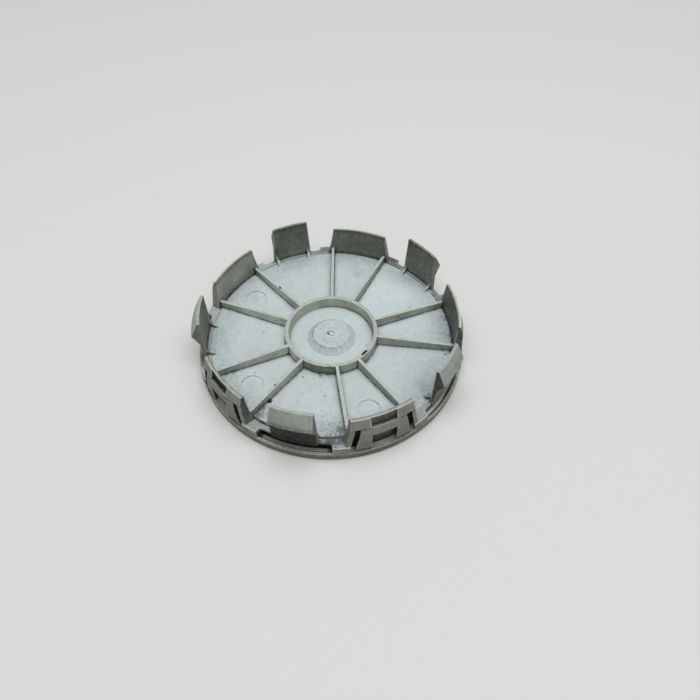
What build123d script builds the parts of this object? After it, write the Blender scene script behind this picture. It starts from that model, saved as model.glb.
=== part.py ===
from build123d import *
import math
import os

# Wheel centre cap, seen from its back: one plastic moulding that lies on its front face.
# The axis of the cap is Z, the front rim lies at Z = 0 and the clips point up.
# Every second clip is a wide one, and the first wide clip stands on +Y. All lengths are millimetres.

# Rim and shoulder, the edge that stops against the wheel
RIM_RADIUS = 34.0
RIM_BREAK = 0.5
LEDGE_HEIGHT = 2.4
LEDGE_WIDTH = 0.25
LEDGE_BREAK = 0.1
SHOULDER_RISE = 2.2
SHOULDER_WIDTH = 2.9
SHOULDER_BREAK = 0.2

# Front face: a shallow bare seat inside the rim, crowned towards a level middle
SEAT_LAND = 4.0
SEAT_CROWN = 0.8
CROWN_DEPTH = 0.2

# Floor, a step below the shoulder: a shallow cone outside the ring, level inside it
FLOOR_STEP = 0.2
FLOOR_DISH = 1.6

# Centre ring, the raised disc inside it, and the dimple and stub of the moulding gate
RING_RADIUS = 11.95
RING_WALL = 1.0
RING_RISE = 3.25
RING_BREAK = 0.2
DISC_RADIUS = 4.85
DISC_RISE = 1.6
DISC_SLOPE = 1.3
GATE_RADIUS = 0.95
GATE_DEPTH = 0.35
STUB_RADIUS = 0.5
STUB_RISE = 0.3
STUB_OFFSET = 0.3

# Shallow round marks that mould inserts left in the floor, each on the middle line of a wide clip
MARK_RADIUS = 2.7
MARK_DEPTH = 0.12
MARK_OFFSET = 24.5
MARKED_CLIPS = (1, 2, 3)

# Clip pattern: wide and narrow clips by turns
CLIP_PAIRS = 5
FIRST_WIDE_ANGLE = 90.0

# Narrow clip: a thin flared wall with a barb along its whole width, and a gusset inside each end
NARROW_TOP_WIDTH = 9.6
NARROW_BASE_WIDTH = 11.0
NARROW_RISE = 11.1
NARROW_SETBACK = 2.0
NARROW_WALL = 0.9
NARROW_LEAN = 0.33
NARROW_TOP_LAND = 0.65
BARB_REACH = 1.45
BARB_DROP = 3.8
BARB_FLAT = 0.35
BARB_RETURN = 3.0
GUSSET_LENGTH = 2.3
GUSSET_RISE = 1.5
GUSSET_THICKNESS = 0.7
GUSSET_INSET = 0.4

# Notch in the shoulder behind each narrow clip, with a pocket under the plate that carries the clip
NOTCH_END_GAP = 3.05
NOTCH_CORNER = 1.2
CLIP_SEAT = 0.4
POCKET_DEPTH = 1.0
POCKET_ROOF = 0.9
POCKET_DROP = 1.2
POCKET_END_WALL = 0.15

# Lip that the rim keeps beside the notches, and the groove along its foot
LIP_WIDTH = 0.6
LIP_HEIGHT = 0.2
GROOVE_WIDTH = 0.4
GROOVE_DEPTH = 0.5

# Wide clip: a back wall with two pads on legs
WIDE_RISE = 8.2
WIDE_SETBACK = 2.45
WIDE_WALL = 0.7
WIDE_TOP_WIDTH = 14.8
WIDE_PAD_WIDTH = 15.4
WIDE_BASE_WIDTH = 17.6
PAD_LENGTH = 2.4
PAD_LAND = 0.1
PAD_REACH = 0.95
LEG_WIDTH = 0.95
FACE_SETBACK = 0.25
WINDOW_WIDTH = 6.1

# Tongue of the wide clip: a bowed bar on two legs, free of the frame around it
SLOT_WIDTH = 1.4
TONGUE_GAP = 0.3
TONGUE_CLEARANCE = 0.2
TONGUE_WALL = 0.65
TONGUE_BOW = 0.32
TONGUE_BAR = 2.5

# Ribs from the ring to both ends of each wide clip
RIB_THICKNESS = 0.75
RIB_RISE = 1.8
RIB_INSET = 1.23

# How far one feature is sunk into another so that they fuse
SINK = 0.4

# Places that follow from the sizes above
SHOULDER_RADIUS = RIM_RADIUS - LEDGE_WIDTH
SHOULDER_HEIGHT = LEDGE_HEIGHT + SHOULDER_RISE
CLEAR_RADIUS = RIM_RADIUS + LEDGE_WIDTH
FLOOR_RADIUS = SHOULDER_RADIUS - SHOULDER_WIDTH
FLOOR_EDGE_HEIGHT = SHOULDER_HEIGHT - FLOOR_STEP
FLOOR_CENTRE_HEIGHT = FLOOR_EDGE_HEIGHT - FLOOR_DISH
RING_HEIGHT = FLOOR_CENTRE_HEIGHT + RING_RISE
LEVEL_RADIUS = RING_RADIUS - RING_WALL / 2
FLOOR_SLOPE = FLOOR_DISH / (FLOOR_RADIUS - LEVEL_RADIUS)
CLIP_PITCH = 360.0 / (2 * CLIP_PAIRS)
NARROW_INNER_RADIUS = SHOULDER_RADIUS - NARROW_SETBACK
NARROW_TOP = SHOULDER_HEIGHT + NARROW_RISE
NOTCH_RADIUS = NARROW_INNER_RADIUS + CLIP_SEAT
LIP_RADIUS = RIM_RADIUS - LIP_WIDTH
CHANNEL_HEIGHT = LEDGE_HEIGHT - LIP_HEIGHT
PLATE_UNDERSIDE = SHOULDER_HEIGHT - POCKET_ROOF
WIDE_INNER_RADIUS = SHOULDER_RADIUS - WIDE_SETBACK
WIDE_OUTER_RADIUS = WIDE_INNER_RADIUS + WIDE_WALL
WIDE_TOP = SHOULDER_HEIGHT + WIDE_RISE
PAD_BOTTOM = WIDE_TOP - PAD_LENGTH
FACE_RADIUS = SHOULDER_RADIUS - FACE_SETBACK
TONGUE_TOP = PAD_BOTTOM - TONGUE_GAP


def floor_height(radius):
    """Height of the floor at a radius."""
    return FLOOR_CENTRE_HEIGHT + FLOOR_SLOPE * max(radius - LEVEL_RADIUS, 0)


def section(*points):
    """Closed face with straight sides."""
    return make_face(Polyline(*points, close=True))


def mirrored_outline(*right_side):
    """Closed width and height face from the points of its right side, listed from the top down."""
    left_side = [(-width, height) for width, height in reversed(right_side)]
    return section(*right_side, *left_side)


def spun(profile, half_angle=180.0):
    """Revolves a radius and height face about Z, evenly to both sides of +X."""
    start = Plane.XZ.rotated((0, 0, -half_angle))
    return revolve(start * profile, Axis.Z, 2 * half_angle)


def outward(outline):
    """Extrudes a width and height face out from the axis along +X, past the rim."""
    return extrude(Plane.YZ * outline, 2 * RIM_RADIUS)


def upright(side, thickness):
    """Extrudes a radius and height face evenly to both sides of +X."""
    return extrude(Plane.XZ * side, thickness / 2, both=True)


def around(shape, first_angle, count):
    """Copies of a shape that is built on +X, turned evenly about Z."""
    return [Rot(0, 0, first_angle + step * 360.0 / count) * shape for step in range(count)]


def base_disc():
    """Rim, front seat, shoulder and floor as one turned section."""
    seat_radius = RIM_RADIUS - SEAT_LAND
    seat_depth = CROWN_DEPTH + SEAT_CROWN
    rim_inside = RIM_RADIUS - RIM_BREAK
    rim_top = LEDGE_HEIGHT - LEDGE_BREAK
    ledge_edge = RIM_RADIUS - LEDGE_BREAK
    wall_top = SHOULDER_HEIGHT - SHOULDER_BREAK
    shoulder_edge = SHOULDER_RADIUS - SHOULDER_BREAK
    side = section(
        (0, CROWN_DEPTH),
        (LEVEL_RADIUS, CROWN_DEPTH),
        (seat_radius, seat_depth),
        (seat_radius, 0),
        (rim_inside, 0),
        (RIM_RADIUS, RIM_BREAK),
        (RIM_RADIUS, rim_top),
        (ledge_edge, LEDGE_HEIGHT),
        (SHOULDER_RADIUS, LEDGE_HEIGHT),
        (SHOULDER_RADIUS, wall_top),
        (shoulder_edge, SHOULDER_HEIGHT),
        (FLOOR_RADIUS, SHOULDER_HEIGHT),
        (FLOOR_RADIUS, FLOOR_EDGE_HEIGHT),
        (LEVEL_RADIUS, FLOOR_CENTRE_HEIGHT),
        (0, FLOOR_CENTRE_HEIGHT),
    )
    return spun(side)


def ring_wall():
    """Upright centre ring with both top edges broken."""
    inner = RING_RADIUS - RING_WALL
    wall_top = RING_HEIGHT - RING_BREAK
    foot = FLOOR_CENTRE_HEIGHT - SINK
    side = section(
        (inner, foot),
        (RING_RADIUS, foot),
        (RING_RADIUS, wall_top),
        (RING_RADIUS - RING_BREAK, RING_HEIGHT),
        (inner + RING_BREAK, RING_HEIGHT),
        (inner, wall_top),
    )
    return spun(side)


def centre_disc():
    """Raised disc inside the ring, with a sloped edge and the dimple and stub of the moulding gate."""
    foot = FLOOR_CENTRE_HEIGHT - SINK
    top = FLOOR_CENTRE_HEIGHT + DISC_RISE
    slope_foot = DISC_RADIUS + DISC_SLOPE
    side = section(
        (0, foot),
        (slope_foot, foot),
        (slope_foot, FLOOR_CENTRE_HEIGHT),
        (DISC_RADIUS, top),
        (0, top),
    )
    dimple = Pos(0, 0, top) * Cylinder(GATE_RADIUS, 2 * GATE_DEPTH)
    stub = Pos(STUB_OFFSET, 0, top - GATE_DEPTH) * Cylinder(STUB_RADIUS, 2 * STUB_RISE)
    return spun(side) - dimple + stub


def floor_mark():
    """Shallow round recess in the floor on +X, tilted with the floor."""
    tilt = math.degrees(math.atan(FLOOR_SLOPE))
    place = Pos(MARK_OFFSET, 0, floor_height(MARK_OFFSET)) * Rot(0, -tilt, 0)
    return place * Cylinder(MARK_RADIUS, 2 * MARK_DEPTH)


def rib():
    """One rib along +X, from inside the ring wall into the back wall of a wide clip."""
    start = RING_RADIUS - RING_WALL / 2
    end = WIDE_INNER_RADIUS + WIDE_WALL / 2
    side = section(
        (start, floor_height(start) - SINK),
        (end, floor_height(end) - 2 * SINK),
        (end, SHOULDER_HEIGHT + RIB_RISE),
        (start, RING_HEIGHT - RING_BREAK),
    )
    return upright(side, RIB_THICKNESS)


def rib_angle():
    """Angle in degrees from the middle of a wide clip to the rib that stiffens its end."""
    return math.degrees(math.asin((WIDE_BASE_WIDTH / 2 - RIB_INSET) / WIDE_INNER_RADIUS))


def clip_angle(half_width):
    """Angle in degrees that a half width takes along the inner face of a narrow clip."""
    return math.degrees(half_width / NARROW_INNER_RADIUS)


def narrow_clip():
    """Narrow clip on +X: the flared and barbed wall and its two gussets."""
    base = NARROW_BASE_WIDTH / 2
    outline = mirrored_outline(
        (NARROW_TOP_WIDTH / 2, NARROW_TOP),
        (base, SHOULDER_HEIGHT),
        (base, PLATE_UNDERSIDE),
    )
    outer = NARROW_INNER_RADIUS + NARROW_WALL
    top_inner = NARROW_INNER_RADIUS - NARROW_LEAN
    barb_height = NARROW_TOP - BARB_DROP
    wall = section(
        (NARROW_INNER_RADIUS, PLATE_UNDERSIDE),
        (outer, PLATE_UNDERSIDE),
        (outer, barb_height - BARB_RETURN),
        (outer + BARB_REACH, barb_height - BARB_FLAT),
        (outer + BARB_REACH, barb_height),
        (top_inner + NARROW_TOP_LAND, NARROW_TOP),
        (top_inner, NARROW_TOP),
    )
    toe = NARROW_INNER_RADIUS - GUSSET_LENGTH
    root = NARROW_INNER_RADIUS + CLIP_SEAT
    gusset_foot = floor_height(toe) - SINK
    gusset_top = SHOULDER_HEIGHT + GUSSET_RISE
    side = section(
        (toe, gusset_foot),
        (root, gusset_foot),
        (root, gusset_top),
        (NARROW_INNER_RADIUS, gusset_top),
        (toe, floor_height(toe)),
    )
    gusset = upright(side, GUSSET_THICKNESS)
    turn = clip_angle(base - GUSSET_INSET - GUSSET_THICKNESS / 2)
    clip = spun(wall, CLIP_PITCH) & outward(outline)
    return clip + Rot(0, 0, turn) * gusset + Rot(0, 0, -turn) * gusset


def ring_sector(inner, outer, half_angle):
    """Flat face between two radii and two angles, evenly to both sides of +X."""
    edge = [
        CenterArc((0, 0), inner, -half_angle, 2 * half_angle),
        CenterArc((0, 0), outer, -half_angle, 2 * half_angle),
        PolarLine((0, 0), outer, half_angle).trim(inner / outer, 1),
        PolarLine((0, 0), outer, -half_angle).trim(inner / outer, 1),
    ]
    return make_face(Curve() + edge)


def narrow_notch():
    """Room behind a narrow clip: the shoulder cut down to a grooved ledge, and the pocket under the plate."""
    half_width = NARROW_BASE_WIDTH / 2 + NOTCH_END_GAP
    plan = ring_sector(NOTCH_RADIUS, CLEAR_RADIUS, clip_angle(half_width))
    inner_corners = plan.vertices().sort_by(lambda corner: corner.X ** 2 + corner.Y ** 2)[:2]
    cut = extrude(fillet(inner_corners, NOTCH_CORNER), SHOULDER_RISE + SINK)
    pocket_inner = NOTCH_RADIUS - POCKET_DEPTH
    pocket_floor = LEDGE_HEIGHT - POCKET_DROP
    groove_floor = CHANNEL_HEIGHT - GROOVE_DEPTH
    groove_inner = LIP_RADIUS - GROOVE_WIDTH
    pocket = section(
        (pocket_inner, pocket_floor),
        (NOTCH_RADIUS, pocket_floor),
        (NOTCH_RADIUS, CHANNEL_HEIGHT),
        (groove_inner, CHANNEL_HEIGHT),
        (groove_inner, groove_floor),
        (LIP_RADIUS, groove_floor),
        (LIP_RADIUS, LEDGE_HEIGHT),
        (CLEAR_RADIUS, LEDGE_HEIGHT),
        (CLEAR_RADIUS, PLATE_UNDERSIDE),
        (pocket_inner, PLATE_UNDERSIDE),
    )
    return Pos(0, 0, LEDGE_HEIGHT) * cut + spun(pocket, clip_angle(half_width - POCKET_END_WALL))


def flank_half_width(height):
    """Half width of a wide clip at a height, along the straight flank of its legs."""
    share = (PAD_BOTTOM - height) / (PAD_BOTTOM - SHOULDER_HEIGHT)
    return (WIDE_PAD_WIDTH + share * (WIDE_BASE_WIDTH - WIDE_PAD_WIDTH)) / 2


def leg_inside(height):
    """Point of a leg's inner side at a height, which bounds the room for the tongue."""
    return flank_half_width(height) - LEG_WIDTH, height


def tongue_side(height):
    """Point of the tongue's side at a height, one slot away from the leg."""
    return flank_half_width(height) - LEG_WIDTH - SLOT_WIDTH, height


def wide_clip():
    """Wide clip on +X before its room is cut: back wall, pads and legs in one flared block."""
    foot = SHOULDER_HEIGHT - SINK
    base = WIDE_BASE_WIDTH / 2
    outline = mirrored_outline(
        (WIDE_TOP_WIDTH / 2, WIDE_TOP),
        (WIDE_PAD_WIDTH / 2, PAD_BOTTOM),
        (base, SHOULDER_HEIGHT),
        (base, foot),
    )
    side = section(
        (WIDE_INNER_RADIUS, foot),
        (FACE_RADIUS, foot),
        (FACE_RADIUS, SHOULDER_HEIGHT),
        (WIDE_OUTER_RADIUS + PAD_REACH, PAD_BOTTOM),
        (WIDE_OUTER_RADIUS + PAD_LAND, WIDE_TOP),
        (WIDE_INNER_RADIUS, WIDE_TOP),
    )
    return spun(side, CLIP_PITCH) & outward(outline)


def tongue_room():
    """Room in front of the back wall: the window between the pads, and the space between the legs."""
    above = WIDE_TOP + SINK
    outline = mirrored_outline(
        (WINDOW_WIDTH / 2, above),
        (WINDOW_WIDTH / 2, PAD_BOTTOM),
        leg_inside(PAD_BOTTOM),
        leg_inside(CHANNEL_HEIGHT),
    )
    band = section(
        (WIDE_OUTER_RADIUS, CHANNEL_HEIGHT),
        (LIP_RADIUS, CHANNEL_HEIGHT),
        (LIP_RADIUS, LEDGE_HEIGHT),
        (CLEAR_RADIUS, LEDGE_HEIGHT),
        (CLEAR_RADIUS, above),
        (WIDE_OUTER_RADIUS, above),
    )
    return spun(band, CLIP_PITCH) & outward(outline)


def tongue():
    """Springy tongue of a wide clip: a bowed sheet on two legs that stand on the ledge."""
    foot = LEDGE_HEIGHT - SINK
    middle = (foot + TONGUE_TOP) / 2
    foot_face = FACE_RADIUS
    top_face = WIDE_OUTER_RADIUS + TONGUE_CLEARANCE + TONGUE_WALL
    bow_face = (foot_face + top_face) / 2 + TONGUE_BOW
    foot_back = foot_face - TONGUE_WALL
    top_back = top_face - TONGUE_WALL
    bow_back = bow_face - TONGUE_WALL
    edge = [
        Line((foot_back, foot), (foot_face, foot)),
        ThreePointArc((foot_face, foot), (bow_face, middle), (top_face, TONGUE_TOP)),
        Line((top_face, TONGUE_TOP), (top_back, TONGUE_TOP)),
        ThreePointArc((top_back, TONGUE_TOP), (bow_back, middle), (foot_back, foot)),
    ]
    sheet = spun(make_face(Curve() + edge), CLIP_PITCH)
    outline = mirrored_outline(tongue_side(TONGUE_TOP), tongue_side(foot))
    window = mirrored_outline((WINDOW_WIDTH / 2, TONGUE_TOP - TONGUE_BAR), (WINDOW_WIDTH / 2, foot))
    return sheet & outward(outline - window)


def centre_cap():
    """The whole cap: the notched disc, then ring, ribs and clips, and last the tongues in their rooms."""
    first_narrow_angle = FIRST_WIDE_ANGLE + CLIP_PITCH
    cap = base_disc()
    cap -= around(narrow_notch(), first_narrow_angle, CLIP_PAIRS)
    cap -= [Rot(0, 0, FIRST_WIDE_ANGLE + 2 * CLIP_PITCH * clip) * floor_mark() for clip in MARKED_CLIPS]
    cap += ring_wall()
    cap += centre_disc()
    for side in (-rib_angle(), rib_angle()):
        cap += around(rib(), FIRST_WIDE_ANGLE + side, CLIP_PAIRS)
    cap += around(narrow_clip(), first_narrow_angle, CLIP_PAIRS)
    cap += around(wide_clip(), FIRST_WIDE_ANGLE, CLIP_PAIRS)
    cap -= around(tongue_room(), FIRST_WIDE_ANGLE, CLIP_PAIRS)
    cap += around(tongue(), FIRST_WIDE_ANGLE, CLIP_PAIRS)
    return cap


os.makedirs("parts", exist_ok=True)
export_step(centre_cap(), "parts/centre_cap.step")
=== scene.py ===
"""Back of a wheel centre cap: dresses the moulding and sets it on a pale studio floor."""

import logging
import math
from dataclasses import dataclass
from enum import Enum
from typing import Any

import bpy
import numpy as np
from mathutils import Matrix, Vector

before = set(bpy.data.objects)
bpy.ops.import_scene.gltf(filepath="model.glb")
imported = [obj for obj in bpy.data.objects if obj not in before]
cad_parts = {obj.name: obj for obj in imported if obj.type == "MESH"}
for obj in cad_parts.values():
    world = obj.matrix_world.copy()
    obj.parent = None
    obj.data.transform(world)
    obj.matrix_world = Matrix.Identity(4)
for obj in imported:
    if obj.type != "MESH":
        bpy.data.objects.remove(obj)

LOG = logging.getLogger("centre_cap")
MM = 0.001

Colour = tuple[float, float, float, float]
Socket = bpy.types.NodeSocket
Tree = bpy.types.NodeTree

# Sockets of the Mix node for colours, which share their names with others: the colour below, the one laid over it and
# the mixed one
BELOW, OVER, MIXED = 6, 7, 2


def linear(code: str) -> Colour:
    """Turns an sRGB hex code into linear light.

    Args:
        code: Six hex digits, such as "C6CCCB".

    Returns:
        Red, green and blue in linear light, with an alpha of one.
    """
    shares = np.array([int(code[at : at + 2], 16) for at in (0, 2, 4)]) / 255.0
    bright = ((shares + 0.055) / 1.055) ** 2.4
    red, green, blue = np.where(shares <= 0.04045, shares / 12.92, bright)
    return float(red), float(green), float(blue), 1.0


def add_node(tree: Tree, kind: str, inputs: dict[Any, Any], output: Any = 0, **settings: Any) -> Socket:
    """Adds one shader node with its settings, its values and its links.

    Args:
        tree: Node tree that takes the node.
        kind: Blender's name of the node type.
        inputs: Socket name or number to a value, or to another node's output, which is linked.
        output: Name or number of the output that is wanted.
        **settings: Properties of the node itself.

    Returns:
        The wanted output, or None where the node has none.
    """
    node = tree.nodes.new(kind)
    for name, value in settings.items():
        setattr(node, name, value)
    for name, value in inputs.items():
        if isinstance(value, Socket):
            tree.links.new(value, node.inputs[name])
        else:
            node.inputs[name].default_value = value
    return node.outputs[output] if node.outputs else None


@dataclass(frozen=True)
class Ramp:
    """Answer to a value: from low to high while the value goes from start to end, and level past both."""

    start: float
    end: float
    low: float = 0.0
    high: float = 1.0

    def along(self, value: Socket) -> dict[str, Any]:
        """Inputs of a Map Range node that follows the ramp."""
        return {"Value": value, "From Min": self.start, "From Max": self.end, "To Min": self.low, "To Max": self.high}

    def about_one(self, share: float) -> "Ramp":
        """The ramp as a factor about one, with a share of its reach."""
        return Ramp(self.start, self.end, 1.0 + share * self.low, 1.0 + share * self.high)


@dataclass(frozen=True)
class Pattern:
    """Cloudy pattern: the size of its clouds, how many finer sizes lie on them, and how strong those are."""

    size_mm: float
    detail: float
    roughness: float

    def over(self, at_mm: Socket) -> dict[str, Any]:
        """Inputs of a Noise node that draws the pattern."""
        return {"Vector": at_mm, "Scale": 1 / self.size_mm, "Detail": self.detail, "Roughness": self.roughness}


class Measure(Enum):
    """What the limits of a zone are read from."""

    RADIUS = "millimetres from the axis of the cap"
    HEIGHT = "millimetres above the front rim"
    LEVEL = "1 on a face that looks up, 0 on an upright one, -1 on an underside"
    OUTWARD = "1 on a face that looks away from the axis, -1 on one that looks at it"
    CLIP = "1 at the middle of a narrow clip, -1 at the middle of a wide one"
    EAST = "millimetres along +X from the axis"
    NORTH = "millimetres along +Y from the axis"


@dataclass(frozen=True)
class Within:
    """Limits of one measure, and how softly a zone fades out past them."""

    measure: Measure
    low: float
    high: float
    soft: float = 0.05


@dataclass(frozen=True)
class Zone:
    """Place where the plastic has another tone, or where light or shade is painted: inside all the limits at once,
    broken up by the mottle.

    The strength is the share of the tone where it is fullest, and the bare share is what the mottle takes off that.
    """

    colour: str
    strength: float
    bare_share: float
    limits: tuple[Within, ...]


class Soil(Enum):
    """What a stain is: its colour, the share of its size over which it fades, its strength, and how ragged it is."""

    TAR = ("141312", 0.4, 1.0, 0.25)
    SPECK = ("4B4D46", 0.6, 0.85, 0.5)
    GRIME = ("41464A", 0.6, 0.7, 1.0)
    SMUDGE = ("858D8F", 1.0, 0.35, 0.5)
    DUST = ("939C9A", 0.5, 0.2, 0.8)
    EARTH = ("4F473A", 0.9, 0.85, 0.6)
    MOSS = ("66653F", 0.9, 0.75, 0.6)
    ALGAE = ("8E8D68", 0.9, 0.6, 0.6)
    RINSED = ("C3CBC8", 0.5, 1.0, 0.2)


@dataclass(frozen=True)
class Stain:
    """One dirty spot, placed on the cap by radius, angle about the axis and height."""

    soil: Soil
    radius_mm: float
    angle_deg: float
    height_mm: float
    size_mm: float

    def centre_mm(self) -> Vector:
        """Middle of the stain in the frame of the cap."""
        turn = math.radians(self.angle_deg)
        return Vector((self.radius_mm * math.cos(turn), self.radius_mm * math.sin(turn), self.height_mm))


# Places that zones share. A limit that reaches past all of the cap leaves that side open.
UPRIGHT = Within(Measure.LEVEL, -0.3, 0.3, 0.1)
LOOKS_UP = Within(Measure.LEVEL, 0.8, 1.1, 0.1)
LOOKS_OUT = Within(Measure.OUTWARD, 0.5, 1.1, 0.2)
LOOKS_IN = Within(Measure.OUTWARD, -1.1, -0.5, 0.2)
LOOKS_SIDEWAYS = Within(Measure.OUTWARD, -0.4, 0.4, 0.1)
AT_NARROW_CLIP = Within(Measure.CLIP, 0.3, 1.1, 0.1)
AT_NARROW_FOOT = Within(Measure.CLIP, 0.55, 1.1, 0.05)
AT_WIDE_CLIP = Within(Measure.CLIP, -1.1, -0.15, 0.1)
BETWEEN_CLIPS = Within(Measure.CLIP, -0.3, 0.4, 0.1)
NOTCH_ENDS = Within(Measure.CLIP, 0.15, 0.34, 0.06)
IN_SLOTS = Within(Measure.CLIP, -1.1, -0.41, 0.03)
BEHIND_SLOTS = Within(Measure.CLIP, -0.82, -0.2, 0.03)
NEAR_SIDE = Within(Measure.NORTH, -36.0, -22.0, 4.0)
NEAR_HALF = Within(Measure.NORTH, -36.0, -12.0, 2.0)
FAR_HALF = Within(Measure.NORTH, -2.0, 36.0, 4.0)
FAR_RIGHT = Within(Measure.EAST, 25.0, 36.0, 1.0)
RIGHT_NOTCH = (FAR_RIGHT, Within(Measure.NORTH, -20.0, 0.0, 1.0))
CLIP_WALLS = Within(Measure.HEIGHT, 4.8, 15.65)
SHOULDER_TOP = Within(Measure.HEIGHT, 4.5, 4.7)
LEDGE_TOP = Within(Measure.HEIGHT, 2.15, 2.3)
BACK_WALL = Within(Measure.RADIUS, 31.96, 32.04)
RIB_SIDES = (Within(Measure.RADIUS, 12.1, 29.0, 2.0), Within(Measure.HEIGHT, 3.0, 5.9), UPRIGHT)
RING_OUTSIDE = (Within(Measure.RADIUS, 11.9, 12.0), Within(Measure.HEIGHT, 2.5, 5.85), LOOKS_OUT)
SHOULDER = (Within(Measure.RADIUS, 30.86, 33.8), SHOULDER_TOP, LOOKS_UP)
CLIP_ENDS = (Within(Measure.RADIUS, 30.9, 34.3), CLIP_WALLS, UPRIGHT, LOOKS_SIDEWAYS)
WIDE_CLIP_INSIDE = (Within(Measure.RADIUS, 30.9, 31.5), CLIP_WALLS, LOOKS_IN)
WIDE_CLIP_OUTSIDE = (Within(Measure.RADIUS, 32.06, 34.3), Within(Measure.HEIGHT, 2.5, 12.7),
                     Within(Measure.LEVEL, -0.4, 0.5, 0.1), LOOKS_OUT, AT_WIDE_CLIP)
UPPER_BACK_WALL = (BACK_WALL, Within(Measure.HEIGHT, 9.8, 12.7), LOOKS_OUT)
LOWER_BACK_WALL = (BACK_WALL, Within(Measure.HEIGHT, 2.0, 9.8), LOOKS_OUT)
UNDER_BARBS = (Within(Measure.RADIUS, 32.4, 34.3), Within(Measure.HEIGHT, 2.6, 11.6, 0.1),
               Within(Measure.LEVEL, -1.1, 0.1), LOOKS_OUT, AT_NARROW_CLIP)
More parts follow.
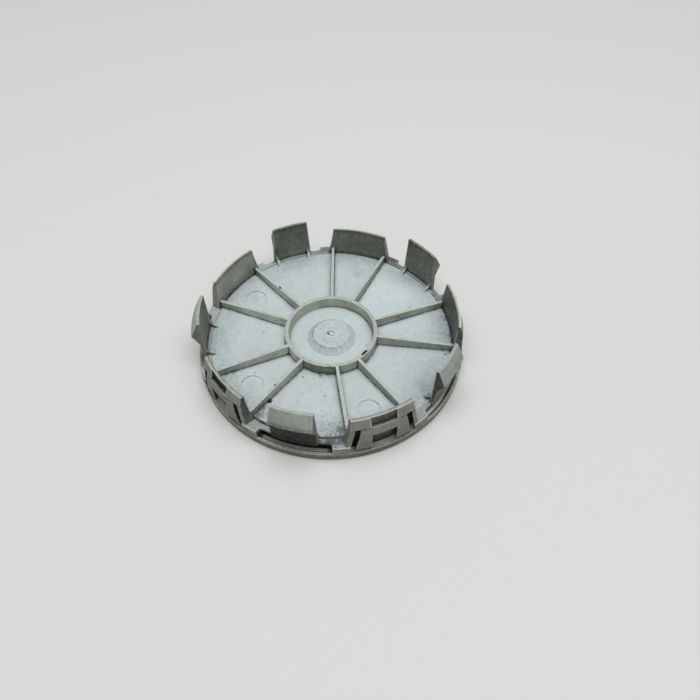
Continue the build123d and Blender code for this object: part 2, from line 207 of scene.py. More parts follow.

# Tones of the film, with painted light and shade among them, which the edges are rubbed through, laid one over another
# in this order
FILM_TONES_AND_PAINTED_LIGHT_AND_SHADE: tuple[Zone, ...] = (
    # Floor: duller towards the clips and on the right, with painted light behind the ring
    Zone("A4ADAB", 0.7, 0.6, (Within(Measure.RADIUS, 29.0, 31.0, 6.0), LOOKS_UP)),
    Zone("9CA6A8", 0.2, 0.3, (Within(Measure.EAST, 22.0, 34.0, 8.0), Within(Measure.NORTH, -26.0, 2.0, 6.0),
                              LOOKS_UP)),
    Zone("CBD5D6", 0.55, 0.3, (Within(Measure.EAST, 7.0, 17.0, 6.0), Within(Measure.NORTH, 9.0, 20.0, 6.0),
                               LOOKS_UP)),
    # Slope of the disc, painted paler than its top: painted light against the shade of its tilt
    Zone("CDD5D2", 0.9, 0.2, (Within(Measure.RADIUS, 4.7, 6.3), Within(Measure.LEVEL, 0.5, 0.75))),
    # Tops of the ribs
    Zone("ADB2A9", 0.8, 0.5, (Within(Measure.RADIUS, 12.1, 31.2), Within(Measure.HEIGHT, 5.9, 6.2), LOOKS_UP)),
    # Sides of the ribs, lighter on the left and darker on the right
    Zone("C2C7BB", 0.7, 0.5, (*RIB_SIDES, Within(Measure.EAST, -32.0, -8.0, 4.0))),
    Zone("888C82", 0.5, 0.5, (*RIB_SIDES, Within(Measure.EAST, 10.0, 32.0, 4.0),
                              Within(Measure.NORTH, -20.0, 4.0, 3.0))),
    # Inner faces of the clips, darker; painted light on the wide clip at the far left, painted shade on the one across
    # from it and on part of a far narrow clip
    Zone("6B6D64", 1.0, 0.2, (Within(Measure.RADIUS, 30.9, 31.9), CLIP_WALLS, LOOKS_IN)),
    Zone("ADB0A5", 0.95, 0.2, (*WIDE_CLIP_INSIDE, Within(Measure.EAST, -33.0, -27.0, 1.0),
                               Within(Measure.NORTH, 2.0, 20.0, 0.5))),
    Zone("53544F", 0.9, 0.2, (*WIDE_CLIP_INSIDE, Within(Measure.EAST, 27.0, 33.0, 1.0),
                              Within(Measure.NORTH, 2.0, 20.0, 0.5))),
    Zone("4A4C49", 0.5, 0.5, (Within(Measure.RADIUS, 31.3, 31.9), CLIP_WALLS, LOOKS_IN, AT_NARROW_CLIP,
                              Within(Measure.EAST, -24.0, -20.5, 2.5), Within(Measure.NORTH, 18.0, 30.0, 1.0))),
    # End faces of the clips, darker on two near ones
    Zone("747568", 0.95, 0.3, CLIP_ENDS),
    Zone("37352F", 0.9, 0.3, (*CLIP_ENDS, NEAR_HALF, Within(Measure.EAST, -20.0, 0.0, 2.0))),
    Zone("37352F", 0.9, 0.3, (*CLIP_ENDS, Within(Measure.EAST, 24.0, 36.0, 2.0),
                              Within(Measure.NORTH, -20.0, 6.0, 1.0))),
    # Outer faces of the wide clips, and the pale edges of their windows
    Zone("83857B", 0.95, 0.2, WIDE_CLIP_OUTSIDE),
    Zone("92948A", 0.6, 0.3, (*WIDE_CLIP_OUTSIDE, Within(Measure.EAST, 18.0, 26.0, 4.0),
                              Within(Measure.NORTH, -34.0, -20.0, 1.0))),
    Zone("C6C7B6", 0.75, 0.4, (Within(Measure.RADIUS, 32.3, 34.0), Within(Measure.HEIGHT, 10.4, 12.75), LOOKS_OUT,
                               Within(Measure.CLIP, -0.9, -0.878, 0.004))),
    # Sloped faces of the barbs
    Zone("A6AEA5", 0.9, 0.3, (Within(Measure.RADIUS, 32.0, 34.3), Within(Measure.HEIGHT, 11.8, 15.75),
                              Within(Measure.LEVEL, 0.3, 0.6), AT_NARROW_CLIP)),
    # Shoulder: pale on the left and at the feet of the narrow clips, dull on the far right, and dirty along its inner
    # side on the near right
    Zone("898C81", 0.95, 0.3, SHOULDER),
    Zone("ABB1A9", 0.9, 0.4, (*SHOULDER, Within(Measure.EAST, -34.0, -14.0, 2.0),
                              Within(Measure.NORTH, -2.0, 34.0, 3.0))),
    Zone("73766D", 0.9, 0.4, (*SHOULDER, Within(Measure.EAST, -12.0, 34.0, 2.0),
                              Within(Measure.NORTH, 8.0, 34.0, 3.0))),
    Zone("A9B1B0", 0.9, 0.3, (Within(Measure.RADIUS, 30.8, 31.45), SHOULDER_TOP, LOOKS_UP, AT_NARROW_FOOT)),
    Zone("9A9F9C", 0.7, 0.9, (Within(Measure.RADIUS, 30.86, 32.6, 0.3), SHOULDER_TOP, LOOKS_UP, NEAR_HALF,
                              Within(Measure.EAST, -20.0, -2.0, 1.0))),
    Zone("5F6365", 0.95, 0.45, (Within(Measure.RADIUS, 30.86, 32.3, 0.5), SHOULDER_TOP, LOOKS_UP, BETWEEN_CLIPS,
                                NEAR_HALF, Within(Measure.EAST, -1.0, 18.0, 3.0))),
    # Side of the rim, darker towards the ground with painted shade and dirt, and the lip along its top
    Zone("67685E", 0.95, 0.2, (Within(Measure.RADIUS, 33.7, 34.1), Within(Measure.HEIGHT, -0.1, 2.35), LOOKS_OUT)),
    Zone("4C4C45", 0.9, 0.3, (Within(Measure.RADIUS, 33.4, 34.1), Within(Measure.HEIGHT, -0.1, 0.5, 0.9), LOOKS_OUT)),
    Zone("6E7063", 0.95, 0.2, (Within(Measure.RADIUS, 33.35, 34.1), Within(Measure.HEIGHT, 2.2, 2.45), LOOKS_UP)),
    # Top of the ring, with a dull line along its middle
    Zone("B2B6A8", 0.8, 0.5, (Within(Measure.RADIUS, 10.8, 12.1), Within(Measure.HEIGHT, 5.8, 6.2))),
    Zone("77766A", 0.8, 0.6, (Within(Measure.RADIUS, 11.42, 11.55), Within(Measure.HEIGHT, 5.95, 6.2))),
    # Ring: dark at the middle of its near side, rinsed on the left
    Zone("5C5D54", 0.9, 0.4, (*RING_OUTSIDE, Within(Measure.NORTH, -13.0, -8.0, 3.0),
                              Within(Measure.EAST, -2.0, 3.5, 3.0))),
    Zone("B4B9AD", 0.6, 0.4, (*RING_OUTSIDE, Within(Measure.EAST, -12.0, -5.5, 1.5),
                              Within(Measure.NORTH, -12.0, 0.0, 2.0))),
    Zone("B9BFB2", 0.7, 0.4, (Within(Measure.RADIUS, 10.9, 11.0), Within(Measure.HEIGHT, 2.5, 5.9), LOOKS_IN,
                              Within(Measure.EAST, -12.0, -8.0, 3.0))),
    # Rib ends at the clips
    Zone("7B7F74", 0.8, 0.6, (Within(Measure.RADIUS, 29.0, 31.2, 6.0), Within(Measure.HEIGHT, 3.5, 6.5), UPRIGHT)),
    # Tops of the tongues and of the clips, with a pale outer line on the far ones
    Zone("8E9084", 0.9, 0.3, (Within(Measure.RADIUS, 32.05, 33.0), Within(Measure.HEIGHT, 9.9, 10.25), LOOKS_UP)),
    Zone("999B8C", 0.9, 0.3, (Within(Measure.RADIUS, 31.0, 33.2), Within(Measure.HEIGHT, 12.75, 15.8), LOOKS_UP)),
    Zone("D8D9C6", 0.85, 0.3, (Within(Measure.RADIUS, 31.72, 32.1), Within(Measure.HEIGHT, 12.6, 12.9), FAR_HALF,
                               AT_WIDE_CLIP)),
    Zone("D8D9C6", 0.85, 0.3, (Within(Measure.RADIUS, 31.9, 32.2), Within(Measure.HEIGHT, 15.4, 15.8), FAR_HALF)),
)

# Dirt, with painted light and shade among it, that lies over everything, in this order
DIRT_AND_PAINTED_LIGHT_AND_SHADE: tuple[Zone, ...] = (
    # Dust along the upper edge of the clips' inner faces
    Zone("3F4036", 0.65, 0.5, (Within(Measure.RADIUS, 31.1, 31.55, 0.1), Within(Measure.HEIGHT, 12.3, 12.9, 0.8),
                               AT_WIDE_CLIP)),
    Zone("3F4036", 0.65, 0.5, (Within(Measure.RADIUS, 31.3, 31.9, 0.1), Within(Measure.HEIGHT, 15.0, 15.8, 1.0),
                               FAR_HALF)),
    # Dark line where the floor runs into the feet of the clips
    Zone("2B2C29", 0.9, 0.4, (Within(Measure.RADIUS, 30.8, 31.35), SHOULDER_TOP, LOOKS_UP, AT_WIDE_CLIP)),
    Zone("2B2C29", 0.7, 0.5, (Within(Measure.RADIUS, 31.4, 31.8, 0.1), SHOULDER_TOP, LOOKS_UP, AT_NARROW_FOOT)),
    # Ledge at the bottom of the notches and of the windows, with the groove along the lip, and the pocket and the ends
    # of the notches black with painted shade and dirt
    Zone("70716C", 1.0, 0.2, (Within(Measure.RADIUS, 31.9, 33.35), LEDGE_TOP, LOOKS_UP, AT_NARROW_CLIP)),
    Zone("8E8F85", 1.0, 0.3, (Within(Measure.RADIUS, 31.9, 33.35), LEDGE_TOP, LOOKS_UP, AT_WIDE_CLIP)),
    Zone("98968F", 1.0, 0.2, (Within(Measure.RADIUS, 32.9, 33.45), Within(Measure.HEIGHT, 1.5, 2.15))),
    Zone("1B1A18", 1.0, 0.0, (Within(Measure.RADIUS, 30.9, 32.2), Within(Measure.HEIGHT, 1.0, 3.75))),
    Zone("23221F", 1.0, 0.2, (Within(Measure.RADIUS, 31.9, 33.3), Within(Measure.HEIGHT, 1.0, 3.6), NOTCH_ENDS)),
    # Right notch: a ledge and pocket floor painted pale, painted light over their shade, and a black groove
    Zone("BDBFB1", 1.0, 0.2, (Within(Measure.RADIUS, 31.0, 33.0), Within(Measure.HEIGHT, 1.0, 2.3), LOOKS_UP,
                              *RIGHT_NOTCH)),
    Zone("131211", 1.0, 0.1, (Within(Measure.RADIUS, 32.95, 33.45), Within(Measure.HEIGHT, 1.5, 2.15), *RIGHT_NOTCH)),
    Zone("131211", 0.95, 0.2, (Within(Measure.RADIUS, 32.7, 33.2), LEDGE_TOP, LOOKS_UP, FAR_RIGHT,
                               Within(Measure.NORTH, -10.0, 0.0, 3.0))),
    # Back walls of the wide clips behind the windows: brown above the tongue, black below it behind the slots, where
    # the black is painted shade
    Zone("4E4A41", 1.0, 0.3, UPPER_BACK_WALL),
    Zone("1F1E1B", 1.0, 0.2, (*UPPER_BACK_WALL, NEAR_HALF, Within(Measure.EAST, -36.0, -8.0, 1.0))),
    Zone("4D4B43", 1.0, 0.3, LOWER_BACK_WALL),
    Zone("1A1917", 1.0, 0.0, (*LOWER_BACK_WALL, BEHIND_SLOTS)),
    # Dark line between the pads and the tongue: painted shadow of the pads' overhang
    Zone("35342E", 0.75, 0.3, (Within(Measure.RADIUS, 32.6, 33.4), Within(Measure.HEIGHT, 9.95, 10.25, 0.08), LOOKS_OUT,
                               BEHIND_SLOTS)),
    # Tops of the tongues, and the sides of the slots and lower windows, dark with painted shade
    Zone("2E2C27", 0.95, 0.2, (Within(Measure.RADIUS, 32.05, 32.72), Within(Measure.HEIGHT, 9.95, 10.25), LOOKS_UP)),
    Zone("161513", 0.95, 0.1, (Within(Measure.RADIUS, 32.02, 33.3), Within(Measure.HEIGHT, 2.3, 10.3), UPRIGHT,
                               LOOKS_SIDEWAYS, IN_SLOTS)),
    # Undersides of the barbs and the walls under them, dark with painted shade and dirt, black on the near clip up to
    # the lower edge of its barb, with a band of painted shade along that edge
    Zone("655F56", 1.0, 0.3, UNDER_BARBS),
    Zone("0E0D0D", 1.0, 0.1, (*UNDER_BARBS, NEAR_SIDE)),
    Zone("3F3D38", 0.7, 0.6, (Within(Measure.RADIUS, 33.0, 34.3), Within(Measure.HEIGHT, 11.5, 12.1, 0.9), LOOKS_OUT,
                              AT_NARROW_CLIP, NEAR_SIDE)),
    # Black line in the corner of the floor on the near side
    Zone("1E1D1C", 1.0, 0.2, (Within(Measure.RADIUS, 30.45, 31.12, 0.1), Within(Measure.HEIGHT, 4.2, 4.7), NEAR_SIDE)),
    # Plate beside the near clip
    Zone("4A4B49", 0.9, 0.4, (Within(Measure.RADIUS, 31.9, 32.6), Within(Measure.HEIGHT, 3.6, 4.7), NEAR_SIDE,
                              Within(Measure.CLIP, 0.3, 0.65), Within(Measure.EAST, 2.0, 12.0, 1.0))),
    # Step at the edge of the floor on the far side, rinsed on the left
    Zone("3A3B36", 0.85, 0.5, (Within(Measure.RADIUS, 30.8, 30.9), Within(Measure.HEIGHT, 4.3, 4.65), FAR_HALF,
                               Within(Measure.CLIP, -1.1, 0.5, 0.1), Within(Measure.EAST, 2.0, 36.0, 6.0))),
    Zone("9DA4A2", 0.8, 0.5, (Within(Measure.RADIUS, 30.3, 30.95), Within(Measure.HEIGHT, 4.1, 4.65), FAR_HALF,
                              Within(Measure.CLIP, -0.1, 1.1, 0.1), Within(Measure.EAST, -36.0, -2.0, 4.0))),
    # Broken lines of dirt round the top and the foot of the disc
    Zone("9BA3A0", 0.35, 1.0, (Within(Measure.RADIUS, -1.0, 6.0, 0.3), Within(Measure.HEIGHT, 3.0, 4.5))),
    Zone("6A7173", 0.85, 0.4, (Within(Measure.RADIUS, 4.7, 4.9), Within(Measure.HEIGHT, 4.2, 4.5),
                               Within(Measure.EAST, -6.0, -1.5, 1.5), Within(Measure.NORTH, -1.0, 6.0, 1.5))),
    Zone("737A7A", 0.85, 0.9, (Within(Measure.RADIUS, 4.75, 4.95), Within(Measure.HEIGHT, 4.2, 4.5),
                               Within(Measure.NORTH, -6.0, -2.0, 1.5))),
    Zone("8F9695", 0.5, 0.9, (Within(Measure.RADIUS, 6.05, 6.3), Within(Measure.HEIGHT, 2.6, 3.0))),
    # Soft foot of the ring at the far left: painted light over the shade in its corner
    Zone("B6BCB1", 0.75, 0.4, (Within(Measure.RADIUS, 10.6, 11.0, 0.1), Within(Measure.HEIGHT, 2.6, 3.4, 0.3),
                               Within(Measure.EAST, -12.0, -7.0, 2.5))),
)

# Single spots of dirt and wear
STAINS: tuple[Stain, ...] = (
    # Black drop at the foot of a rib, and specks on the ribs
    Stain(Soil.TAR, 25.1, -110.6, 4.0, 0.85),
    Stain(Soil.TAR, 20.55, 147.3, 6.05, 0.75),
    Stain(Soil.SPECK, 26.0, 175.1, 6.1, 0.65),
    Stain(Soil.SPECK, 18.5, 30.8, 4.8, 0.6),
    Stain(Soil.SPECK, 19.0, 149.1, 4.8, 0.4),
    Stain(Soil.SPECK, 15.1, -139.3, 4.5, 0.55),
    Stain(Soil.TAR, 19.1, -113.3, 6.0, 0.35),
    Stain(Soil.TAR, 21.8, -112.7, 6.1, 0.4),
    # Chip across the top of the ring, and small ones along its inner edge
    Stain(Soil.TAR, 11.3, -25.8, 6.05, 0.62),
    Stain(Soil.TAR, 11.3, -28.5, 6.05, 0.68),
    Stain(Soil.TAR, 11.25, -31.2, 6.05, 0.62),
    Stain(Soil.SPECK, 11.0, -40.3, 5.95, 0.4),
    Stain(Soil.SPECK, 11.0, -43.6, 5.95, 0.4),
    Stain(Soil.SPECK, 11.9, -76.5, 6.0, 0.35),
    # Specks on the floor
    Stain(Soil.SPECK, 17.85, -169.6, 3.3, 0.4),
    Stain(Soil.SPECK, 14.6, -103.7, 3.1, 0.4),
    Stain(Soil.SPECK, 18.9, -79.7, 3.4, 0.4),
    Stain(Soil.SPECK, 23.4, 39.0, 3.8, 0.35),
    Stain(Soil.SPECK, 29.6, 0.6, 4.3, 0.6),
    # Gate: rinsed clean, with a black spot beside it
    Stain(Soil.RINSED, 0.3, 0.0, 4.3, 2.0),
    Stain(Soil.TAR, 0.72, 184.0, 4.35, 0.62),
    # Specks on the disc
    Stain(Soil.SPECK, 2.66, -121.7, 4.4, 0.3),
    Stain(Soil.SPECK, 4.76, -110.8, 4.4, 0.35),
    Stain(Soil.SPECK, 5.35, -29.9, 4.0, 0.35),
    # Dust in the round marks of the floor
    Stain(Soil.DUST, 24.5, 162.0, 3.8, 2.9),
    Stain(Soil.DUST, 24.5, 234.0, 3.8, 2.9),
    # Grime washed into the corners between the near clips and ribs
    Stain(Soil.GRIME, 30.6, -70.6, 4.4, 3.2),
    Stain(Soil.GRIME, 28.6, -70.6, 4.3, 3.0),
    Stain(Soil.GRIME, 31.6, -75.0, 4.6, 3.4),
    Stain(Soil.SMUDGE, 27.6, -74.5, 4.1, 4.0),
    Stain(Soil.GRIME, 29.6, -109.6, 4.4, 2.4),
    Stain(Soil.GRIME, 27.6, -110.2, 4.2, 2.2),
    Stain(Soil.GRIME, 27.0, -139.2, 4.2, 1.6),
    # Grey wash and grime inside the right clips
    Stain(Soil.SMUDGE, 27.0, -21.0, 4.0, 4.0),
    Stain(Soil.SMUDGE, 28.9, -24.4, 4.2, 3.0),
    Stain(Soil.GRIME, 30.6, -26.6, 4.4, 2.0),
    Stain(Soil.GRIME, 30.9, 24.0, 4.4, 1.6),
    Stain(Soil.GRIME, 30.9, 13.0, 4.4, 1.7),
    Stain(Soil.GRIME, 30.9, 2.0, 4.4, 1.6),
    # Dull patches on the floor
    Stain(Soil.SMUDGE, 23.6, 86.9, 3.8, 3.0),
    Stain(Soil.SMUDGE, 12.8, -85.9, 2.9, 2.0),
    Stain(Soil.GRIME, 12.2, -89.0, 2.9, 1.3),
    Stain(Soil.GRIME, 12.2, -79.0, 2.9, 1.2),
    # Earth on the shoulder, and moss on the ends of two clips
    Stain(Soil.EARTH, 32.8, 71.8, 4.6, 3.4),
    Stain(Soil.EARTH, 31.7, 62.5, 14.8, 2.6),
    Stain(Soil.MOSS, 33.0, 43.8, 12.5, 3.0),
    Stain(Soil.MOSS, 32.2, 44.2, 8.0, 2.2),
    Stain(Soil.MOSS, 33.2, 207.6, 12.5, 2.4),
    # Algae on the barb of the right narrow clip
    Stain(Soil.ALGAE, 33.5, -16.5, 13.0, 2.0),
    Stain(Soil.ALGAE, 33.7, -11.0, 13.0, 2.2),
)


# Moulded ABS, grey all through and left outdoors. To the eye it is matt and chalky: pale where rain rinses it, dull and
# greenish under a film of road dirt, light along the rubbed edges, black where dirt is packed and where shade is
# painted.
@dataclass(frozen=True)
class WeatheredPlastic:
    """Grey moulded ABS that lay outdoors: pale and rinsed where it is level, filmed with road dirt where it stands."""

    name: str = "weathered_moulded_abs"
    rinsed_colour: str = "BCC5C2"
    film_colour: str = "A6AA9C"
    rubbed_colour: str = "C8CBBA"
    packed_dirt_and_shade_colour: str = "26251F"
    soot_colour: str = "4E5049"
    ior: float = 1.53
    roughness: Ramp = Ramp(0.3, 0.7, 0.43, 0.6)
    # Dark colour, of packed dirt and of painted shade alike, shines less than the plastic
    sheen: Ramp = Ramp(0.01, 0.05, 0.24, 0.5)
    # From the film on upright faces to the rinsed plastic on level ones
    rinsing: Ramp = Ramp(0.5, 0.62)

    # Grain and soot are finer than 0.1 mm on the real cap, and are drawn coarser here so that they show
    smudge: Pattern = Pattern(6.0, 3.0, 0.6)
    mottle: Pattern = Pattern(1.1, 4.0, 0.6)
    soot: Pattern = Pattern(0.8, 2.0, 0.7)
    grain: Pattern = Pattern(0.3, 2.0, 0.5)
    grain_depth_mm: float = 0.02
    grain_strength: float = 0.4
    streak: Pattern = Pattern(1.0, 3.0, 0.6)
    streak_drawn_out: tuple[float, float, float] = (5.0, 5.0, 0.6)

    # How much the patterns darken and lighten the plastic, and its film on top of that
    smudge_tone: Ramp = Ramp(0.3, 0.7, 0.93, 1.05)
    mottle_tone: Ramp = Ramp(0.3, 0.7, 1.05, 0.94)
    film_streak_tone: Ramp = Ramp(0.3, 0.7, 0.96, 1.04)
    film_grain_tone: Ramp = Ramp(0.3, 0.7, 0.82, 1.18)
    film_smudge_tone: Ramp = Ramp(0.3, 0.7, 0.82, 1.18)

    # Height of the pattern above which soot lies, lower on smudges, and how fast it covers the plastic above that
    soot_starts: Ramp = Ramp(0.4, 0.62, 0.73, 0.65)
    soot_covers: Ramp = Ramp(0.0, 0.05, 0.0, 0.6)

    # Edges, by how far the rounded normal leaves the true one, and corners, by how much of the room around is free
    edge_round_mm: float = 0.12
    edge_rubbed_mm: float = 0.35
    edge_samples: int = 6
    edge_turns: Ramp = Ramp(0.997, 0.93)
    edge_wears: Ramp = Ramp(0.35, 0.6, 0.95, 0.5)
    edge_is_free: Ramp = Ramp(0.75, 0.95)
    corner_mm: float = 0.8
    corner_samples: int = 8
    corner_closes: Ramp = Ramp(0.88, 0.5)
    corner_packs: Ramp = Ramp(0.35, 0.62, 0.5, 1.0)

    # How the mottle breaks zones up, and how mottle and grain bend the outline of the most ragged stain
    zone_breaks: Ramp = Ramp(0.35, 0.62)
    mottle_bends: Ramp = Ramp(0.3, 0.7, 0.5, -0.3)
    grain_bends: Ramp = Ramp(0.34, 0.66, 2.0, -0.6)

    narrow_clip_deg: float = 126.0
    clip_pairs: int = 5

    def material(self) -> bpy.types.Material:
        """Makes the plastic with its film, tones, painted light and shade, rubbed edges, packed dirt and stains.

        Returns:
            The finished material.
        """
        made = bpy.data.materials.new(self.name)
        made.use_nodes = True
        tree = made.node_tree
        tree.nodes.clear()
        place = add_node(tree, "ShaderNodeTexCoord", {}, "Object")
        at_mm = add_node(tree, "ShaderNodeVectorMath", {0: place, "Scale": 1 / MM}, operation="SCALE")
        mottle = add_node(tree, "ShaderNodeTexNoise", self.mottle.over(at_mm))
        grain = add_node(tree, "ShaderNodeTexNoise", self.grain.over(at_mm))
        measures = self.measures(tree, at_mm)
        inputs = {"Radius": self.edge_round_mm * MM}
        round_edge = add_node(tree, "ShaderNodeBevel", inputs, samples=self.edge_samples)
        inputs = {"Radius": self.edge_rubbed_mm * MM}
        rubbed_edge = add_node(tree, "ShaderNodeBevel", inputs, samples=self.edge_samples)
        inputs = self.rinsing.along(measures[Measure.LEVEL])
        rinsed = add_node(tree, "ShaderNodeMapRange", inputs, interpolation_type="SMOOTHSTEP")
        inputs = {"Factor": rinsed, BELOW: linear(self.film_colour), OVER: linear(self.rinsed_colour)}
        colour = add_node(tree, "ShaderNodeMix", inputs, MIXED, data_type="RGBA")
        for zone in FILM_TONES_AND_PAINTED_LIGHT_AND_SHADE:
            colour = self.toned(tree, colour, zone, measures, mottle)
        smudge = add_node(tree, "ShaderNodeTexNoise", self.smudge.over(at_mm))
        value = self.patterned(tree, at_mm, rinsed, smudge, mottle, grain)
        colour = add_node(tree, "ShaderNodeHueSaturation", {"Value": value, "Color": colour})
        colour = self.sooted(tree, colour, at_mm, smudge)
        inputs = {"Distance": self.corner_mm * MM}
        settings = {"samples": self.corner_samples, "only_local": True}
        free = add_node(tree, "ShaderNodeAmbientOcclusion", inputs, "AO", **settings)
        colour = self.rubbed_edges(tree, colour, rubbed_edge, free, mottle)
        colour = self.dirty_and_shaded_corners(tree, colour, free, mottle)
        for zone in DIRT_AND_PAINTED_LIGHT_AND_SHADE:
            colour = self.toned(tree, colour, zone, measures, mottle)
        for stain in STAINS:
            colour = self.stained(tree, colour, at_mm, mottle, grain, stain)
        rough = add_node(tree, "ShaderNodeMapRange", self.roughness.along(mottle))
        inputs = {"Strength": self.grain_strength, "Distance": self.grain_depth_mm * MM, "Height": grain,
                  "Normal": round_edge}
        bumped = add_node(tree, "ShaderNodeBump", inputs)
        paleness = add_node(tree, "ShaderNodeRGBToBW", {"Color": colour})
        sheen = add_node(tree, "ShaderNodeMapRange", self.sheen.along(paleness))
        inputs = {"Base Color": colour, "Roughness": rough, "IOR": self.ior, "Specular IOR Level": sheen,
                  "Normal": bumped}
        shader = add_node(tree, "ShaderNodeBsdfPrincipled", inputs)
        add_node(tree, "ShaderNodeOutputMaterial", {"Surface": shader})
        return made

    def measures(self, tree: Tree, at_mm: Socket) -> dict[Measure, Socket]:
        """Works out the measures that zones are limited by.

        Args:
            tree: Node tree of the material.
            at_mm: Place on the cap in millimetres.

        Returns:
            One socket for each measure.
        """
        flat = add_node(tree, "ShaderNodeVectorMath", {0: at_mm, 1: (1.0, 1.0, 0.0)}, operation="MULTIPLY")
        away = add_node(tree, "ShaderNodeVectorMath", {0: flat}, operation="NORMALIZE")
        normal = add_node(tree, "ShaderNodeNewGeometry", {}, "Normal")
        east = add_node(tree, "ShaderNodeSeparateXYZ", {"Vector": at_mm}, "X")
        north = add_node(tree, "ShaderNodeSeparateXYZ", {"Vector": at_mm}, "Y")
        turn = add_node(tree, "ShaderNodeMath", {0: north, 1: east}, operation="ARCTAN2")
        phase = -self.clip_pairs * math.radians(self.narrow_clip_deg)
        inputs = {0: turn, 1: float(self.clip_pairs), 2: phase}
        wave = add_node(tree, "ShaderNodeMath", inputs, operation="MULTIPLY_ADD")
        inputs = {0: normal, 1: away}
        outward = add_node(tree, "ShaderNodeVectorMath", inputs, "Value", operation="DOT_PRODUCT")
        return {
            Measure.RADIUS: add_node(tree, "ShaderNodeVectorMath", {0: flat}, "Value", operation="LENGTH"),
            Measure.HEIGHT: add_node(tree, "ShaderNodeSeparateXYZ", {"Vector": at_mm}, "Z"),
            Measure.LEVEL: add_node(tree, "ShaderNodeSeparateXYZ", {"Vector": normal}, "Z"),
            Measure.OUTWARD: outward,
            Measure.CLIP: add_node(tree, "ShaderNodeMath", {0: wave}, operation="COSINE"),
            Measure.EAST: east,
            Measure.NORTH: north,
        }

    def toned(
        self, tree: Tree, colour: Socket, zone: Zone, measures: dict[Measure, Socket], mottle: Socket
    ) -> Socket:
        """Lays the tone of one zone over a colour.

        The share of the tone passes through one limit after another, and the mottle comes last. No value is worked out
        for several zones at once, because the renderer can't hold a material that keeps many values waiting.

        Args:
            tree: Node tree of the material.
            colour: Colour below.
            zone: Zone with its tone and limits.
            measures: Socket of each measure.
            mottle: Cloudy pattern that breaks the zone up.

        Returns:
            The colour with the zone on it.
        """
        share: Any = zone.strength
        for limit in zone.limits:
            for side in (Ramp(limit.low - limit.soft, limit.low), Ramp(limit.high + limit.soft, limit.high)):
                inputs = side.along(measures[limit.measure]) | {"To Max": share}
                share = add_node(tree, "ShaderNodeMapRange", inputs, interpolation_type="SMOOTHSTEP")
        bare = add_node(tree, "ShaderNodeMath", {0: share, 1: 1.0 - zone.bare_share}, operation="MULTIPLY")
        inputs = self.zone_breaks.along(mottle) | {"To Min": bare, "To Max": share}
        share = add_node(tree, "ShaderNodeMapRange", inputs)
        inputs = {"Factor": share, BELOW: colour, OVER: linear(zone.colour)}
        return add_node(tree, "ShaderNodeMix", inputs, MIXED, data_type="RGBA")

    def patterned(
        self, tree: Tree, at_mm: Socket, rinsed: Socket, smudge: Socket, mottle: Socket, grain: Socket
    ) -> Socket:
        """Works out how light the plastic is by broad smudges, mottling and, in the film, level streaks and grain.

        Args:
            tree: Node tree of the material.
            at_mm: Place on the cap in millimetres.
            rinsed: Share of clean plastic.
            smudge: Broadest pattern.
            mottle: Cloudy pattern of the mottling.
            grain: Finest pattern.

        Returns:
            The factor of the colour's value, about one.
        """
        broad = add_node(tree, "ShaderNodeMapRange", self.smudge_tone.along(smudge))
        fine = add_node(tree, "ShaderNodeMapRange", self.mottle_tone.along(mottle))
        value = add_node(tree, "ShaderNodeMath", {0: broad, 1: fine}, operation="MULTIPLY")
        inputs = {0: at_mm, 1: self.streak_drawn_out}
        drawn_out = add_node(tree, "ShaderNodeVectorMath", inputs, operation="DIVIDE")
        streak = add_node(tree, "ShaderNodeTexNoise", self.streak.over(drawn_out))
        streaked = add_node(tree, "ShaderNodeMapRange", self.film_streak_tone.along(streak))
        grainy = add_node(tree, "ShaderNodeMapRange", self.film_grain_tone.along(grain))
        cloudy = add_node(tree, "ShaderNodeMapRange", self.film_smudge_tone.along(smudge))
        film_value = add_node(tree, "ShaderNodeMath", {0: streaked, 1: grainy}, operation="MULTIPLY")
        film_value = add_node(tree, "ShaderNodeMath", {0: film_value, 1: cloudy}, operation="MULTIPLY")
        inputs = {"Factor": rinsed, "A": film_value, "B": 1.0}
        film_value = add_node(tree, "ShaderNodeMix", inputs, data_type="FLOAT")
        return add_node(tree, "ShaderNodeMath", {0: value, 1: film_value}, operation="MULTIPLY")

    def sooted(self, tree: Tree, colour: Socket, at_mm: Socket, smudge: Socket) -> Socket:
        """Strews specks of soot over a colour, more of them on the smudges.

        Args:
            tree: Node tree of the material.
            colour: Colour below.
            at_mm: Place on the cap in millimetres.
            smudge: Broadest pattern.

        Returns:
            The colour with specks on it.
        """
        soot = add_node(tree, "ShaderNodeTexNoise", self.soot.over(at_mm))
        starts = add_node(tree, "ShaderNodeMapRange", self.soot_starts.along(smudge))
        above = add_node(tree, "ShaderNodeMath", {0: soot, 1: starts}, operation="SUBTRACT")
        share = add_node(tree, "ShaderNodeMapRange", self.soot_covers.along(above))
        inputs = {"Factor": share, BELOW: colour, OVER: linear(self.soot_colour)}
        return add_node(tree, "ShaderNodeMix", inputs, MIXED, data_type="RGBA")

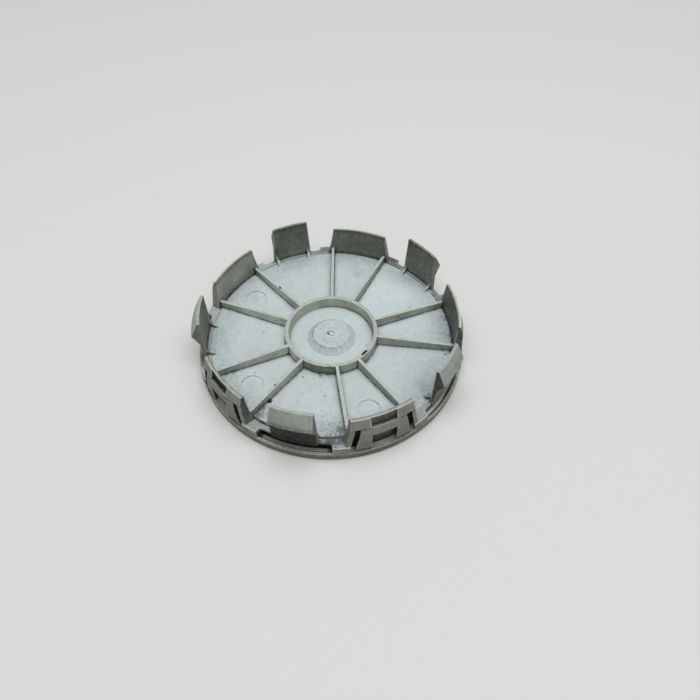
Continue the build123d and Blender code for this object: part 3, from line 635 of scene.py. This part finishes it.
    def rubbed_edges(
        self, tree: Tree, colour: Socket, rubbed_edge: Socket, free: Socket, mottle: Socket
    ) -> Socket:
        """Draws pale rubbed lines where the rounded normal leaves the true one, which is along the outer edges.

        Args:
            tree: Node tree of the material.
            colour: Colour below.
            rubbed_edge: Normal that is rounded over the edges.
            free: One on an open face, less in a corner, where nothing rubs.
            mottle: Cloudy pattern that breaks the lines up.

        Returns:
            The colour with pale edges.
        """
        normal = add_node(tree, "ShaderNodeNewGeometry", {}, "Normal")
        inputs = {0: normal, 1: rubbed_edge}
        turned = add_node(tree, "ShaderNodeVectorMath", inputs, "Value", operation="DOT_PRODUCT")
        inputs = self.edge_turns.along(turned)
        edge = add_node(tree, "ShaderNodeMapRange", inputs, interpolation_type="SMOOTHSTEP")
        worn = add_node(tree, "ShaderNodeMapRange", self.edge_wears.along(mottle))
        share = add_node(tree, "ShaderNodeMath", {0: edge, 1: worn}, operation="MULTIPLY")
        open_face = add_node(tree, "ShaderNodeMapRange", self.edge_is_free.along(free))
        share = add_node(tree, "ShaderNodeMath", {0: share, 1: open_face}, operation="MULTIPLY")
        inputs = {"Factor": share, BELOW: colour, OVER: linear(self.rubbed_colour)}
        return add_node(tree, "ShaderNodeMix", inputs, MIXED, data_type="RGBA")

    def dirty_and_shaded_corners(self, tree: Tree, colour: Socket, free: Socket, mottle: Socket) -> Socket:
        """Packs dark dirt and paints shade where faces meet in a corner, by how closed in the corner is.

        Args:
            tree: Node tree of the material.
            colour: Colour below.
            free: One on an open face, less in a corner.
            mottle: Cloudy pattern that breaks the dirt up.

        Returns:
            The colour with dirty corners.
        """
        inputs = self.corner_closes.along(free)
        corner = add_node(tree, "ShaderNodeMapRange", inputs, interpolation_type="SMOOTHSTEP")
        packed = add_node(tree, "ShaderNodeMapRange", self.corner_packs.along(mottle))
        share = add_node(tree, "ShaderNodeMath", {0: corner, 1: packed}, operation="MULTIPLY")
        inputs = {"Factor": share, BELOW: colour, OVER: linear(self.packed_dirt_and_shade_colour)}
        return add_node(tree, "ShaderNodeMix", inputs, MIXED, data_type="RGBA")

    def stained(
        self, tree: Tree, colour: Socket, at_mm: Socket, mottle: Socket, grain: Socket, stain: Stain
    ) -> Socket:
        """Lays one stain on a colour: full at its middle, gone at its size, ragged by the mottle and the grain.

        Args:
            tree: Node tree of the material.
            colour: Colour below.
            at_mm: Place on the cap in millimetres.
            mottle: Cloudy pattern that bends the outline of the stain.
            grain: Fine pattern that breaks the stain up.
            stain: The stain.

        Returns:
            The colour with the stain on it.
        """
        code, fade, strength, raggedness = stain.soil.value
        inputs = {0: at_mm, 1: stain.centre_mm()}
        away = add_node(tree, "ShaderNodeVectorMath", inputs, "Value", operation="DISTANCE")
        for bends, pattern in ((self.grain_bends, grain), (self.mottle_bends, mottle)):
            bent = add_node(tree, "ShaderNodeMapRange", bends.about_one(raggedness).along(pattern))
            away = add_node(tree, "ShaderNodeMath", {0: away, 1: bent}, operation="MULTIPLY")
        fades = Ramp(stain.size_mm, stain.size_mm * (1.0 - fade), 0.0, strength)
        share = add_node(tree, "ShaderNodeMapRange", fades.along(away), interpolation_type="SMOOTHSTEP")
        inputs = {"Factor": share, BELOW: colour, OVER: linear(code)}
        return add_node(tree, "ShaderNodeMix", inputs, MIXED, data_type="RGBA")


# Matt paint, rolled on. To the eye it is even and pale with no gloss, so that it shows only the shadow of the cap.
@dataclass(frozen=True)
class PaintedFloor:
    """Matt pale paint of the studio floor: pale to the eye, duller in the light that it throws back."""

    name: str = "matt_pale_paint"
    seen: str = "D9D7D3"
    thrown_back: str = "8F8A84"

    def material(self) -> bpy.types.Material:
        """Makes the paint, pale only for what looks at it straight, by mirror or through glass.

        Returns:
            The finished material.
        """
        made = bpy.data.materials.new(self.name)
        made.use_nodes = True
        tree = made.node_tree
        tree.nodes.clear()
        seen = add_node(tree, "ShaderNodeLightPath", {}, "Is Camera Ray")
        for ray in ("Is Glossy Ray", "Is Transmission Ray"):
            inputs = {0: seen, 1: add_node(tree, "ShaderNodeLightPath", {}, ray)}
            seen = add_node(tree, "ShaderNodeMath", inputs, operation="MAXIMUM")
        inputs = {"Factor": seen, BELOW: linear(self.thrown_back), OVER: linear(self.seen)}
        colour = add_node(tree, "ShaderNodeMix", inputs, MIXED, data_type="RGBA")
        paint = add_node(tree, "ShaderNodeBsdfDiffuse", {"Color": colour})
        add_node(tree, "ShaderNodeOutputMaterial", {"Surface": paint})
        return made


@dataclass
class CentreCap:
    """The moulding: one node that keeps its shape and takes the weathered plastic."""

    node: str = "centre_cap"
    finish: WeatheredPlastic = WeatheredPlastic()

    def build(self) -> bpy.types.Object:
        """Finds the moulding in the frame."""
        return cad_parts[self.node]

    def dress(self, moulding: bpy.types.Object) -> None:
        """Gives the moulding its plastic."""
        moulding.material_slots[0].material = self.finish.material()


@dataclass
class StudioFloor:
    """Flat square that the cap lies on."""

    half_size_mm: float = 600.0
    finish: PaintedFloor = PaintedFloor()

    def build(self) -> bpy.types.Object:
        """Makes the square: the four sign pairs of its half size, at the height of the front rim.

        Returns:
            The floor.
        """
        signs = np.array([(-1, -1), (1, -1), (1, 1), (-1, 1)], dtype=float)
        corners = np.column_stack([signs * self.half_size_mm * MM, np.zeros(len(signs))])
        mesh = bpy.data.meshes.new("studio_floor")
        mesh.from_pydata(corners.tolist(), [], [(0, 1, 2, 3)])
        floor = bpy.data.objects.new("studio_floor", mesh)
        bpy.context.scene.collection.objects.link(floor)
        return floor

    def dress(self, floor: bpy.types.Object) -> None:
        """Paints the floor."""
        floor.data.materials.append(self.finish.material())


@dataclass
class SoftLight:
    """Even light from above: one wide panel over the cap, and a dim room around it."""

    panel_height_mm: float = 900.0
    panel_size_mm: float = 1000.0
    panel_offset_mm: tuple[float, float] = (60.0, -60.0)
    panel_watts: float = 9.6
    panel_colour: str = "F6F9FF"
    room_colour: str = "E6E6E2"
    room_strength: float = 0.3
    room_seen: float = 0.85

    def build(self) -> bpy.types.Object:
        """Hangs the panel and lights the room.

        Returns:
            The panel.
        """
        data = bpy.data.lights.new("overhead_panel", "AREA")
        data.shape = "SQUARE"
        data.size = self.panel_size_mm * MM
        data.energy = self.panel_watts
        data.color = linear(self.panel_colour)[:3]
        panel = bpy.data.objects.new("overhead_panel", data)
        panel.location = Vector((*self.panel_offset_mm, self.panel_height_mm)) * MM
        panel.rotation_euler = (-panel.location).to_track_quat("-Z", "Y").to_euler()
        bpy.context.scene.collection.objects.link(panel)
        self.light_room()
        return panel

    def light_room(self) -> None:
        """Sets dim light from all around, which the camera sees as a pale wall."""
        world = bpy.data.worlds.new("studio_room")
        world.use_nodes = True
        tree = world.node_tree
        tree.nodes.clear()
        seen = add_node(tree, "ShaderNodeLightPath", {}, "Is Camera Ray")
        inputs = {"Value": seen, "To Min": self.room_strength, "To Max": self.room_seen}
        strength = add_node(tree, "ShaderNodeMapRange", inputs)
        room = add_node(tree, "ShaderNodeBackground", {"Color": linear(self.room_colour), "Strength": strength})
        add_node(tree, "ShaderNodeOutputWorld", {"Surface": room})
        bpy.context.scene.world = world


@dataclass
class PhotoCamera:
    """Camera at the place of the photo: it looks at a point from a bearing, an elevation and a distance."""

    bearing_deg: float = 13.348
    elevation_deg: float = 51.451
    roll_deg: float = 0.567
    distance_mm: float = 144.02
    target_mm: tuple[float, float, float] = (5.204, -0.79, 0.0)
    lens_mm: float = 28.136
    sensor_mm: float = 36.0

    def build(self) -> bpy.types.Object:
        """Places the camera.

        The view starts along +Y. It is tipped down by the elevation and turned about Z by the bearing, and the camera
        stands back from the target along the view line and is rolled about it.

        Returns:
            The camera, set as the scene's own.
        """
        data = bpy.data.cameras.new("photo_camera")
        data.sensor_width = self.sensor_mm
        data.lens = self.lens_mm
        data.clip_start = MM
        data.dof.use_dof = False
        turn = Matrix.Rotation(math.radians(self.bearing_deg), 4, "Z")
        tip = Matrix.Rotation(math.radians(90.0 - self.elevation_deg), 4, "X")
        roll = Matrix.Rotation(math.radians(self.roll_deg), 4, "Z")
        back = Matrix.Translation((0.0, 0.0, self.distance_mm * MM))
        camera = bpy.data.objects.new("photo_camera", data)
        camera.matrix_world = Matrix.Translation(Vector(self.target_mm) * MM) @ turn @ tip @ back @ roll
        bpy.context.scene.collection.objects.link(camera)
        bpy.context.scene.camera = camera
        return camera


def main() -> None:
    """Dresses the cap and builds the studio around it."""
    logging.basicConfig(level=logging.INFO, format="%(name)s: %(message)s")
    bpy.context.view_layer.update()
    bpy.context.scene.view_settings.view_transform = "Standard"
    for part in (CentreCap(), StudioFloor()):
        piece = part.build()
        part.dress(piece)
        LOG.info("%s wears %s", piece.name, part.finish.name)
    for part in (SoftLight(), PhotoCamera()):
        piece = part.build()
        LOG.info("%s stands at %s m", piece.name, [round(share, 4) for share in piece.matrix_world.translation])


if __name__ == "__main__":
    main()
